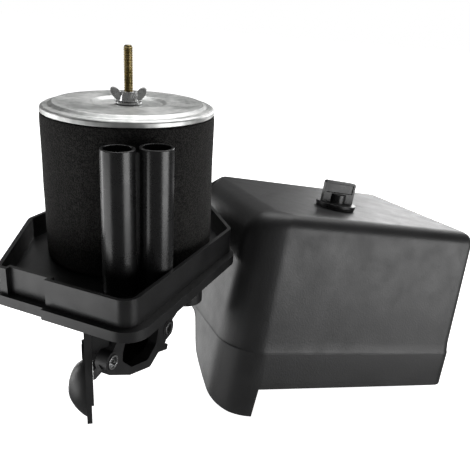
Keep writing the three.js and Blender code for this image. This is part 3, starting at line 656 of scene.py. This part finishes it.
def cover_piece():
    base = flat_ring(0, 0)
    low = [lower_edge(p) for p in base]

    def low_ring(d, lift):
        return [Vector((p.x, p.y, z + lift)) for p, z in zip(flat_ring(d, 0), low)]

    def between(d0, d1, t):
        a = flat_ring(d0 + (d1 - d0) * t, 0, BAND * t)
        return [Vector((p.x, p.y, z + (BAND - 0.4 - z) * t)) for p, z in zip(a, low)]

    taper = lambda z: TAPER * z / COVER_H
    outer = [low_ring(0.45, 0.0), low_ring(0.1, 0.18), low_ring(0.0, 0.5)]
    outer += [between(0.0, 0.5, t) for t in (0.25, 0.5, 0.75, 1.0)]
    outer += [flat_ring(0.6, BAND + 0.05), flat_ring(0.9, BAND + 0.45), flat_ring(1.1, BAND + 1.1), flat_ring(1.4, BAND + 3.0)]
    outer += [flat_ring(0.6 + taper(z), z) for z in (37, 50, 70, 88)]
    start = 0.6 + taper(COVER_H - 10)
    outer += [edge_ring(start, a * math.pi / 24, 0, COVER_H) for a in range(0, 13)]
    inner = [low_ring(WALL - 0.4, 0.0), low_ring(WALL, 0.4)]
    inner += [between(WALL, WALL + 0.3, t) for t in (0.5, 1.0)]
    inner += [flat_ring(WALL + 1.3, BAND + 1.2), flat_ring(WALL + 0.6 + taper(60), 60)]
    inner += [edge_ring(WALL + start, a * math.pi / 12, WALL, COVER_H - WALL) for a in range(0, 7)]
    rings = list(reversed(inner)) + outer
    ob = skin("cover_shell", rings, COVER_M)
    # boss round the knob's hole, and the locating ribs
    at = COVER_M @ Matrix.Translation(Vector((KNOB_AT[0], KNOB_AT[1], 0)))
    boolean(ob, turned("boss", [(11, COVER_H - 9), (11, COVER_H - 1.4)], 64, at, closed=False), "UNION")
    for u, side in ((-40, 0), (50, 0), (-30, 1), (55, 1), (-20, 2), (40, 2), (-20, 3)):
        rows = []
        for z, d in ((8.0, 1.2), (64.0, 4.4)):
            q = [(u - 1.2, d), (u + 1.2, d), (u + 1.2, 10.8), (u - 1.2, 10.8)]
            spot = (lambda t, e: (t, -D2 + e), lambda t, e: (t, D2 - e), lambda t, e: (W2 - e, t), lambda t, e: (-W2 + e, t))[side]
            rows.append([(*spot(*c), z) for c in q])
        boolean(ob, skin("rib", rows, COVER_M), "UNION")
    boolean(ob, turned("hole", [(7.4, COVER_H - 14), (7.4, COVER_H + 3)], 64, at, closed=False), "DIFFERENCE")
    finish_mesh(ob, 40)
    place(ob, ["dust_cover"])


# ---------------------------------------------------------------- build the pieces
foam_piece()
cap_piece()
stud_piece()
wing_nut_piece()
tubes_piece()
cover_piece()
carry("tray_case", "tray_moulding", 0.45, 3, 40, 34)
elbow = carry("carburettor_elbow", "elbow_moulding", 0.4, 2, 40, 36)
# the pad that the shield is screwed to meets the plate
pad = [(33.87, -90.72), (34.44, -90.27), (26.0, -79.56), (25.42, -80.0)]
boolean(elbow, skin("pad", [[(x, y, z) for x, y in pad] for z in (-37.5, -12.5)], TO_ROW), "UNION")
finish_mesh(elbow, 36)
carry("scoop_shield", "scoop_moulding", 0.35, 2, 50, 42)
carry("cover_knob", "knob_moulding", 0.55, 3, 40, 36)
carry("knob_washer", "knob_washer_ring", 0.3)
carry("knob_retaining_clip", "knob_clip", 0.15)
carry("knob_thread_insert", "knob_insert", 0.25)
carry("wing_nut_washer", "nut_washer_ring", 0.25)
carry("mounting_collar_front", "collar_front", 0.3)
carry("mounting_collar_rear", "collar_rear", 0.3)
for i in (1, 2, 3):
    carry("elbow_screw_%d" % i, "elbow_screw_piece_%d" % i, 0.3)
carry("shield_screw", "shield_screw_piece", 0.3)
carry("stud_nut_upper", "stud_nut_a", 0.4)
carry("stud_nut_lower", "stud_nut_b", 0.4)
carry("stud_washer_upper", "stud_washer_a", 0.2)
carry("breather_grommet", "grommet", 0.5)
carry("element_seal_ring", "seal_ring", 0.4)
carry("elbow_gasket", "gasket_sheet", 0.15)
carry("element_bottom_cap", "bottom_cap_sheet", 0.2)
carry("pleated_paper", "paper_pleats", 0.0, shade=20)
carry("outer_screen", "screen_outer", 0.0, mat="screen")
carry("inner_screen", "screen_inner", 0.0, mat="screen")

# ---------------------------------------------------------------- camera, light, floor
cam = bpy.data.objects.new("view", bpy.data.cameras.new("view"))
scene.collection.objects.link(cam)
cam.data.sensor_width = 36
cam.data.lens = 592.95 / 470 * 36
right_h, up0 = Vector((0.9216, 0.3881, 0)), Vector((-0.1435, 0.3407, 0.9291))
fwd = Vector((-0.3606, 0.8563, -0.3697)).normalized()
rho = math.radians(3.34)
cr = (right_h * math.cos(rho) + up0 * math.sin(rho)).normalized()
cu = cr.cross(fwd).normalized()
cam.matrix_world = Matrix.Translation(Vector((0.1704, -0.26695, 0.198))) @ Matrix((cr, cu, -fwd)).transposed().to_4x4()
cam.data.clip_start, cam.data.clip_end = 0.01, 20
scene.camera = cam


def stage_mesh(name, verts, faces, colour, rough):
    me = bpy.data.meshes.new(name)
    me.from_pydata(verts, [], faces)
    me.shade_smooth()
    ob = bpy.data.objects.new(name, me)
    scene.collection.objects.link(ob)
    m = Mat(name)
    m.to("Base Color", m.ramp(m.noise(3, 2), (0.3, colour), (0.7, [c * 0.985 for c in colour])))
    m.to("Roughness", rough)
    m.to("Emission Color", (1, 1, 1, 1))
    m.to("Emission Strength", 0.97)
    ob.data.materials.append(m.m)
    ob.visible_glossy = False


floor_z = cad_lo.z - 0.0006
stage_mesh("floor", [(-5, -5, floor_z), (5, -5, floor_z), (5, 5, floor_z), (-5, 5, floor_z)], [(0, 1, 2, 3)], (0.93, 0.93, 0.935), 0.6)

centre = Vector((0.03, 0.10, 0.0))


def softbox(name, offset, size, power, aim=None, colour=(1, 1, 1)):
    d = bpy.data.lights.new(name, "AREA")
    d.shape = "RECTANGLE"
    d.size, d.size_y = size
    d.energy = power
    d.color = colour
    ob = bpy.data.objects.new(name, d)
    scene.collection.objects.link(ob)
    ob.location = centre + Vector(offset)
    ob.visible_camera = False
    ob.rotation_mode = "QUATERNION"
    ob.rotation_quaternion = ((aim or centre) - ob.location).to_track_quat("-Z", "Y")


rx, fy = Vector((0.9216, 0.3881, 0)), Vector((-0.3881, 0.9216, 0))  # right and away, as seen


def at(right, away, up):
    v = rx * right + fy * away
    return (v.x, v.y, up)


softbox("overhead", at(0.1, 0.55, 1.25), (1.5, 0.9), 14)
softbox("left_strip", at(-0.95, 0.15, 0.05), (0.3, 0.7), 3.0)
softbox("left_low", Vector((-0.24, -0.26, -0.06)) - centre, (0.34, 0.2), 0.52, Vector((-0.05, -0.03, 0.03)))
softbox("left_floor", Vector((-0.30, 0.24, -0.11)) - centre, (0.34, 0.3), 0.7, Vector((-0.02, 0.12, -0.01)))
softbox("right_low", Vector((0.70, 0.03, -0.05)) - centre, (0.55, 0.3), 2.6, Vector((0.12, 0.13, -0.04)))
softbox("back_right", at(0.85, 1.3, 0.32), (1.1, 0.8), 11.5)

world = scene.world or bpy.data.worlds.new("world")
scene.world = world
world.use_nodes = True
wt = world.node_tree
bg = next(n for n in wt.nodes if n.type == "BACKGROUND")
bg.inputs["Color"].default_value = (1, 1, 1, 1)
lp = wt.nodes.new("ShaderNodeLightPath")
power = wt.nodes.new("ShaderNodeMapRange")
wt.links.new(lp.outputs["Is Camera Ray"], power.inputs["Value"])
power.inputs["To Min"].default_value = 0.12
power.inputs["To Max"].default_value = 1.0
wt.links.new(power.outputs["Result"], bg.inputs["Strength"])
scene.view_settings.view_transform = "Standard"
